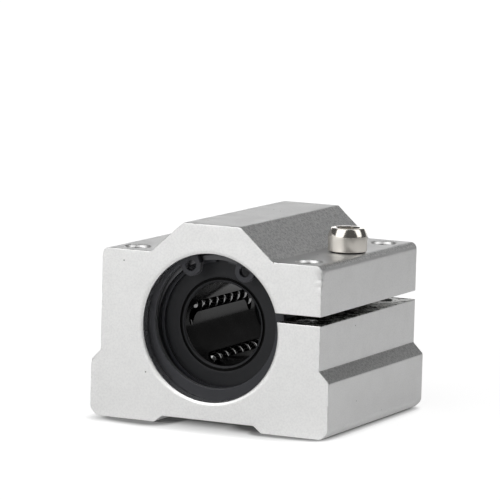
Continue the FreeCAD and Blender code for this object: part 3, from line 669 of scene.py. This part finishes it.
def makeClampScrew():
    # rings of radius(angle, row) and height(angle, row) about the screw's axis, from the tip's pole
    # over thread, head and rim down the socket to its drill point; thread radius = root + ridge *
    # triangle wave of (height / pitch - angle / full turn), rim = an arc from the side's crease to the
    # top, socket radius = half width / cos(angle from the middle of the flat)
    crest, root, pitch = clampScrew["thread"]
    seat, (tipZ, tipR) = clampScrew["seat"], clampScrew["tip"]
    headR, headH = clampScrew["head"]
    rimWidth, rimHeight, halfTurn = clampScrew["rim"]
    gapR, gap = clampScrew["undercut"]
    neck, edge = clampScrew["neck"], clampScrew["hexEdge"]
    scale, lower = clampScrew["crestWave"]
    stop, runOut = clampScrew["threadEnd"]
    flat, mouth, deep, hexTurn = clampScrew["hex"]
    degrees = 360.0 / clampScrew["turns"] * np.arange(clampScrew["turns"])
    angle = np.radians(degrees)
    top = seat + headH
    rows = []

    def ring(radius, height):
        rows.append((radius + 0 * angle, height + 0 * angle))

    ring(0.0, tipZ)
    ring(0.5 * tipR, tipZ)
    ring(tipR, tipZ)
    threadTop = seat - stop
    threadRows = int((threadTop - tipZ) / pitch * clampScrew["rowsPerPitch"])
    for z in np.linspace(tipZ, threadTop, threadRows)[1:]:
        wave = 1.0 - np.abs(2.0 * ((z / pitch - angle / (2 * np.pi)) % 1.0) - 1.0)
        left = (threadTop - z) / runOut
        ridge = (crest - root) * np.clip(scale * wave - lower, 0.0, 1.0)
        ridge = ridge * min(1.0, left) + (neck - root) * max(0.0, 1.0 - left)
        rows.append((np.minimum(root + ridge, tipR + z - tipZ), z + 0 * angle))
    for out, rise in clampScrew["collar"]:
        ring(neck + out, seat + rise)
    ring(gapR, seat)
    ring(gapR, seat + gap)
    for out, rise in clampScrew["underHead"]:
        ring(headR + out, seat + gap + rise)
    ring(headR, seat + clampScrew["sideRing"] * headH)
    chord, lean = np.hypot(rimWidth, rimHeight), np.arctan2(rimWidth, rimHeight)
    bend = np.radians(halfTurn)
    arcR = chord / (2.0 * np.sin(bend))
    for share in np.linspace(-bend, bend, clampScrew["rimRings"]):
        # across the arc: its tangent leans from (lean - bend) to (lean + bend) off the upright
        ring(headR - arcR * (np.cos(lean - bend) - np.cos(lean + share)),
             top - clampScrew["rimTop"] - rimHeight
             + arcR * (np.sin(lean + share) - np.sin(lean - bend)))
    for inwards, drop in clampScrew["topRings"]:
        ring(headR - rimWidth - inwards, top - drop)
    ring(mouth + edge, top)
    hexR = flat / np.cos(np.radians((degrees - hexTurn + 30.0) % 60.0 - 30.0))
    sink = (mouth - hexR) / np.tan(np.radians(60.0))
    floorShare, floorDrop = clampScrew["hexFloor"]
    slope = np.tan(np.radians(clampScrew["drillPoint"]))
    ring(mouth, top - edge)
    rows.append((hexR, top - 2 * edge - sink))
    rows.append((hexR, top - deep + 0 * angle))
    ring(floorShare * flat, top - deep - floorDrop)
    ring(0.5 * flat, top - deep - 0.5 * flat * slope)
    ring(0.0, top - deep - flat * slope)
    radius, height = (np.array([row[i] for row in rows]) for i in (0, 1))
    points = np.stack([clampScrew["axis"][0] + radius * np.cos(angle),
                       clampScrew["axis"][1] + radius * np.sin(angle), height], -1)
    # oiled thread, painted shade with oil grime in the gap under the head, turned side and socket,
    # bright rim
    first = [i for i in range(len(rows)) if np.allclose(rows[i][1], seat)][0]
    socket = len(rows) - 5
    numbers = np.zeros((len(rows) - 1, len(angle)), int)
    numbers[:first], numbers[first:first + 3] = 1, 2
    numbers[first + 3:first + 7], numbers[socket:] = 3, 3
    quads = gridFaces(len(rows), len(angle), closedColumns=True)
    makePiece("clamp_screw_turned", [(points, quads, numbers.ravel())],
              [finishes["nickel_screw"], oiledNickel, grimeAndShadeBlack, turnedNickel], "screw",
              ["clamp_screw"], sharpest=24.0)


tappedHoles = {
    "start": 31.4,
    "pitch": 0.8,
    "left": 14.0,  # turns of thread down each hole
    "right": 10.6,
    "ridge": [(2.53, -0.37), (2.16, -0.05), (2.16, 0.05), (2.53, 0.37)],
    "stepsPerTurn": 36,
    "grows": (3.0, 0.02),  # per turn at each end, and from what share
    "leastRise": 0.4,
}


def makeMountingThreads():
    # a ridge section carried down a helix: point = (radius cos t, radius sin t, start - pitch t /
    # full turn + rise); the ridge grows out of the wall over the first and last third of a turn
    holeX, holeY = housing["hole"]
    section = np.array(tappedHoles["ridge"])
    patches = []
    for x, y in [(sx * holeX, sy * holeY) for sx in (-1, 1) for sy in (-1, 1)]:
        turns = tappedHoles["right" if x > 0 else "left"]
        t = np.linspace(0.0, turns, int(turns * tappedHoles["stepsPerTurn"]) + 1)[:, None]
        growth, least = tappedHoles["grows"]
        grown = np.clip(np.minimum(t, turns - t) * growth, least, 1.0)
        wall = section[0, 0]
        radius = wall + (section[None, :, 0] - wall) * grown
        flatter = tappedHoles["leastRise"]
        rise = section[None, :, 1] * (flatter + (1.0 - flatter) * grown)
        points = np.stack([x + radius * np.cos(2 * np.pi * t), y - radius * np.sin(2 * np.pi * t),
                           tappedHoles["start"] - tappedHoles["pitch"] * t + rise], -1)
        quads = gridFaces(len(t), len(section), closedColumns=True)
        caps = np.array([[0, 1, 2, 3]]) + np.array([[0], [len(t) * 4 - 4]])
        patches.append((points, [quads, caps], 0))
    makePiece("mounting_threads", patches, [housingFinishes[2]], "block")


makeClampScrew()
makeMountingThreads()

seal = {
    # radius and distance from the middle of the block: out of the face, over the lip, back inside
    "profile": [(12.46, 15.32), (12.46, 16.20), (12.40, 16.36), (12.26, 16.44), (11.80, 16.45),
                (11.40, 16.44), (11.00, 16.42), (10.60, 16.41), (10.20, 16.41), (9.80, 16.42),
                (9.50, 16.44), (9.30, 16.45), (9.08, 16.45), (8.99, 16.42), (8.96, 16.34),
                (8.96, 15.97), (8.46, 15.97), (8.45, 16.34), (8.42, 16.42), (8.34, 16.43),
                (8.10, 16.31), (8.01, 16.22), (8.00, 16.05), (8.01, 15.92), (8.20, 15.65),
                (8.44, 15.32)],
    "groove": (14, 15, 16),  # these steps of the profile are the groove behind the lip, darkened as painted shade
    "turns": 144,
}


def makeSeals():
    # the profile turned about the bore: place = (radius * sin t, side * distance, bore height +
    # radius * cos t)
    height = housing["bore"][1]
    outline = np.array(seal["profile"])
    t = 2.0 * np.pi * np.arange(seal["turns"]) / seal["turns"]
    # the groove behind the lip takes the near-black finish: painted shade
    grooved = np.isin(np.arange(len(outline)), seal["groove"])
    numbers = np.repeat(grooved, len(t)).astype(int)
    quads = gridFaces(len(outline), len(t), closedRows=True, closedColumns=True)
    for name, side in (("front", -1.0), ("rear", 1.0)):
        points = np.stack([outline[:, :1] * np.sin(t), side * outline[:, 1:] + 0 * t,
                           height + outline[:, :1] * np.cos(t)], -1)
        makePiece(name + "_seal_moulded", [(points, quads, numbers)],
                  [finishes["black_rubber"], grimeAndShadeBlack], "block",
                  [name + "_seal"], sharpest=40.0)


snapRing = {"round": 0.14, "flatSide": 0.3}


def makeSnapRings():
    # each ring's solid copied, its triangles joined, and its edges rounded as stamping leaves them;
    # lighter sheared steel with a painted highlight where (face normal . direction from the bore's
    # axis) < 0 and the face isn't a flat side
    for name in ("front_snap_ring", "rear_snap_ring"):
        solid = frame["nodes"][name].data
        corners = np.empty(len(solid.vertices) * 3)
        solid.vertices.foreach_get("co", corners)
        triangles = np.empty(len(solid.loops), np.int32)
        solid.loops.foreach_get("vertex_index", triangles)
        points, triangles = corners.reshape(-1, 3) / millimetre, triangles.reshape(-1, 3)
        first, second, third = (points[triangles[:, side]] for side in range(3))
        facing = np.cross(second - first, third - first)
        outwards = (first + second + third) / 3 - (0.0, 0.0, housing["bore"][1])
        litCutEdge = np.abs(facing[:, 1]) < snapRing["flatSide"] * np.linalg.norm(facing, axis=1)
        litCutEdge &= facing[:, 0] * outwards[:, 0] + facing[:, 2] * outwards[:, 2] < 0
        makePiece(name + "_stamped", [(points, triangles, litCutEdge.astype(int))],
                  [finishes["black_spring_steel"], cutEdgeHighlight], "block", [name],
                  rounding=snapRing["round"])


makeSeals()
makeSnapRings()


studio = {
    "floorRadius": 3.0,
    "floorGrid": (12, 64),
    "floorHeight": -0.02 * millimetre,
    "floorTone": (0.97, 0.34),  # for the light it throws back, and to the camera
    "floorGlowReach": (0.05, 0.5),
    "floorGlow": (0.84, 1.0),  # a hand away and half a metre away
    # dimmer under the block and close to its two feet: middle and half size of each dark patch,
    # how much, how far out and how it fades
    "shades": [
        ((0.0010, 0.0, 0.0), (0.0125, 0.0156, 1.0), 0.84, 0.0130, 0.75),
        ((-0.0160, -0.0012, 0.0), (0.0040, 0.0213, 1.0), 0.86, 0.0053, 1.0),
        ((0.0170, -0.0008, 0.0), (0.0050, 0.0207, 1.0), 0.88, 0.0036, 1.0),
        ((0.0090, -0.0180, 0.0), (0.0012, 0.0016, 1.0), 0.24, 0.0050, 1.0),
    ],
    "glossGlow": 0.08,
    "backdrop": 1.55,  # behind, up to about fifteen degrees
    "backdropHeight": (0.18, 0.38),
    "behind": (-0.435, 0.900, 0.0),
    "backdropWidth": (0.68, 0.93),
    "darkRoom": 0.09,
    "lampAim": (0.0, 0.0, 0.02),
    # softboxes: compass angle from the front towards the right, height above the table, distance,
    # width, length, brightness
    "softboxes": {
        "left": (-27.0, 40.0, 0.90, 0.85, 1.30, 1.605),
        "right": (100.0, 44.0, 1.1, 0.62, 1.30, 1.49),
        "behind": (-150.0, 60.0, 1.2, 0.35, 0.35, 0.6),
    },
}


def outside(tree, place, half):
    # distance from a box about the origin: length of max(|place| - half size, 0)
    place = addNode(tree, "VectorMath", {0: place}, operation="ABSOLUTE").outputs[0]
    place = addNode(tree, "VectorMath", {0: place, 1: half}, operation="SUBTRACT").outputs[0]
    place = addNode(tree, "VectorMath", {0: place, 1: (0.0, 0.0, 0.0)}, operation="MAXIMUM").outputs[0]
    return addNode(tree, "VectorMath", {0: place}, operation="LENGTH").outputs["Value"]


def makeFloor():
    # a disc as rings of points round the axis, radius growing by even steps, a hair below the feet
    ringCount, turnCount = studio["floorGrid"]
    rings = np.linspace(0.0, studio["floorRadius"], ringCount)[1:]
    turns = np.linspace(0.0, 2.0 * np.pi, turnCount, endpoint=False)
    x = np.outer(rings, np.cos(turns)).ravel()
    y = np.outer(rings, np.sin(turns)).ravel()
    points = np.column_stack([x, y, np.full_like(x, studio["floorHeight"])])
    points = np.vstack([points, [[0.0, 0.0, studio["floorHeight"]]]])
    index = np.arange(len(rings) * len(turns)).reshape(len(rings), len(turns))
    after = np.roll(index, -1, axis=1)
    faces = np.stack([index[:-1], index[1:], after[1:], after[:-1]], -1).reshape(-1, 4).tolist()
    faces += np.stack([np.full(len(turns), len(points) - 1), index[0], after[0]], -1).tolist()
    mesh = bpy.data.meshes.new("studio_floor")
    mesh.from_pydata(points.tolist(), [], faces)
    floor = bpy.data.objects.new("studio_floor", mesh)
    bpy.context.collection.objects.link(floor)
    material = bpy.data.materials.new("floor_paper")
    material.use_nodes = True
    tree = material.node_tree
    tree.nodes.clear()
    ray = addNode(tree, "LightPath")
    tone = mapped(tree, ray.outputs["Is Camera Ray"], 0.0, 1.0, *studio["floorTone"], smooth=False)
    paper = addNode(tree, "BsdfDiffuse", {"Color": tone})
    place = addNode(tree, "TexCoord").outputs["Object"]
    away = addNode(tree, "VectorMath", {0: place}, operation="LENGTH").outputs["Value"]
    dark = 0.0
    for middle, half, dim, reach, curve in studio["shades"]:
        patch = addNode(tree, "VectorMath", {0: place, 1: middle}, operation="SUBTRACT").outputs[0]
        share = mapped(tree, outside(tree, patch, half), 0.0, reach, 1.0, 0.0, smooth=False)
        share = addNode(tree, "Math", {0: share, 1: curve}, operation="POWER").outputs[0]
        dark = addNode(tree, "Math", {0: share, 1: dim, 2: dark}, operation="MULTIPLY_ADD").outputs[0]
    glow = mapped(tree, away, *studio["floorGlowReach"], *studio["floorGlow"])
    seen = addNode(tree, "Math", {0: glow, 1: dark}, operation="SUBTRACT", use_clamp=True).outputs[0]
    seen = addNode(tree, "Math", {0: seen, 1: ray.outputs["Is Camera Ray"]},
                   operation="MULTIPLY").outputs[0]
    mirrored = addNode(tree, "Math", {0: ray.outputs["Is Glossy Ray"], 1: studio["glossGlow"],
                                      2: seen}, operation="MULTIPLY_ADD").outputs[0]
    shine = addNode(tree, "Emission", {"Color": (1.0, 1.0, 1.0, 1.0), "Strength": mirrored})
    mix = addNode(tree, "AddShader", {0: paper.outputs[0], 1: shine.outputs[0]})
    addNode(tree, "OutputMaterial", {"Surface": mix.outputs[0]})
    mesh.materials.append(material)


def makeWorld():
    # white to the camera; to the object a pale backdrop low behind it and a dark room elsewhere
    world = bpy.data.worlds.new("studio_world")
    bpy.context.scene.world = world
    world.use_nodes = True
    tree = world.node_tree
    tree.nodes.clear()
    way = addNode(tree, "TexCoord").outputs["Generated"]
    high = addNode(tree, "SeparateXYZ", {0: way}).outputs["Z"]
    behind = addNode(tree, "VectorMath", {0: way, 1: studio["behind"]}, operation="DOT_PRODUCT")
    low = mapped(tree, high, *studio["backdropHeight"], 1.0, 0.0)
    near = mapped(tree, behind.outputs["Value"], *studio["backdropWidth"], 0.0, 1.0)
    share = addNode(tree, "Math", {0: low, 1: near}, operation="MULTIPLY").outputs[0]
    tone = mapped(tree, share, 0.0, 1.0, studio["darkRoom"], studio["backdrop"], smooth=False)
    ray = addNode(tree, "LightPath")
    room = addNode(tree, "Background", {"Strength": tone})
    white = addNode(tree, "Background", {"Strength": 1.0})
    room.inputs["Color"].default_value = white.inputs["Color"].default_value = (1.0, 1.0, 1.0, 1.0)
    mix = addNode(tree, "MixShader", {0: ray.outputs["Is Camera Ray"], 1: room.outputs[0],
                                      2: white.outputs[0]})
    addNode(tree, "OutputWorld", {"Surface": mix.outputs[0]})


def makeLamps():
    # place = distance * (sin turn cos rise, -cos turn cos rise, sin rise), turned to face the aim
    for name, (compass, height, distance, width, length, brightness) in studio["softboxes"].items():
        turn, rise = np.radians(compass), np.radians(height)
        place = Vector((np.sin(turn) * np.cos(rise), -np.cos(turn) * np.cos(rise),
                        np.sin(rise))) * distance
        lamp = bpy.data.lights.new("lamp_" + name, "AREA")
        lamp.shape, lamp.size, lamp.size_y = "RECTANGLE", width, length
        lamp.energy = brightness * np.pi * width * length
        holder = bpy.data.objects.new("lamp_" + name, lamp)
        holder.location = place
        holder.rotation_mode = "QUATERNION"
        aim = Vector(studio["lampAim"]) - place
        holder.rotation_quaternion = aim.to_track_quat("-Z", "Y")
        bpy.context.collection.objects.link(holder)


cameraView = {
    "target": (0.0, 0.0, 0.019),
    "right": (0.89864, 0.43788, 0.02665),
    "up": (-0.08020, 0.10425, 0.99131),
    "ahead": (-0.43129, 0.89297, -0.12880),
    "offset": (-1.97 * millimetre, 12.32 * millimetre, -715.1 * millimetre),
    "lens": 267.04,
    "sensor": 36.0,
    "clip": (0.05, 20.0),
}


def makeCamera():
    # the camera stands at the target plus so much right, up and ahead
    right, up, ahead = (Vector(cameraView[k]) for k in ("right", "up", "ahead"))
    across, above, away = cameraView["offset"]
    camera = bpy.data.cameras.new("camera")
    camera.lens, camera.sensor_width = cameraView["lens"], cameraView["sensor"]
    camera.clip_start, camera.clip_end = cameraView["clip"]
    holder = bpy.data.objects.new("camera", camera)
    turn = Matrix((right, up, -ahead)).transposed().to_4x4()
    spot = Vector(cameraView["target"]) + across * right + above * up + away * ahead
    holder.matrix_world = Matrix.Translation(spot) @ turn
    bpy.context.collection.objects.link(holder)
    bpy.context.scene.camera = holder


makeFloor()
makeWorld()
makeLamps()
makeCamera()
bpy.context.scene.view_settings.view_transform = "Standard"
print("studio set")
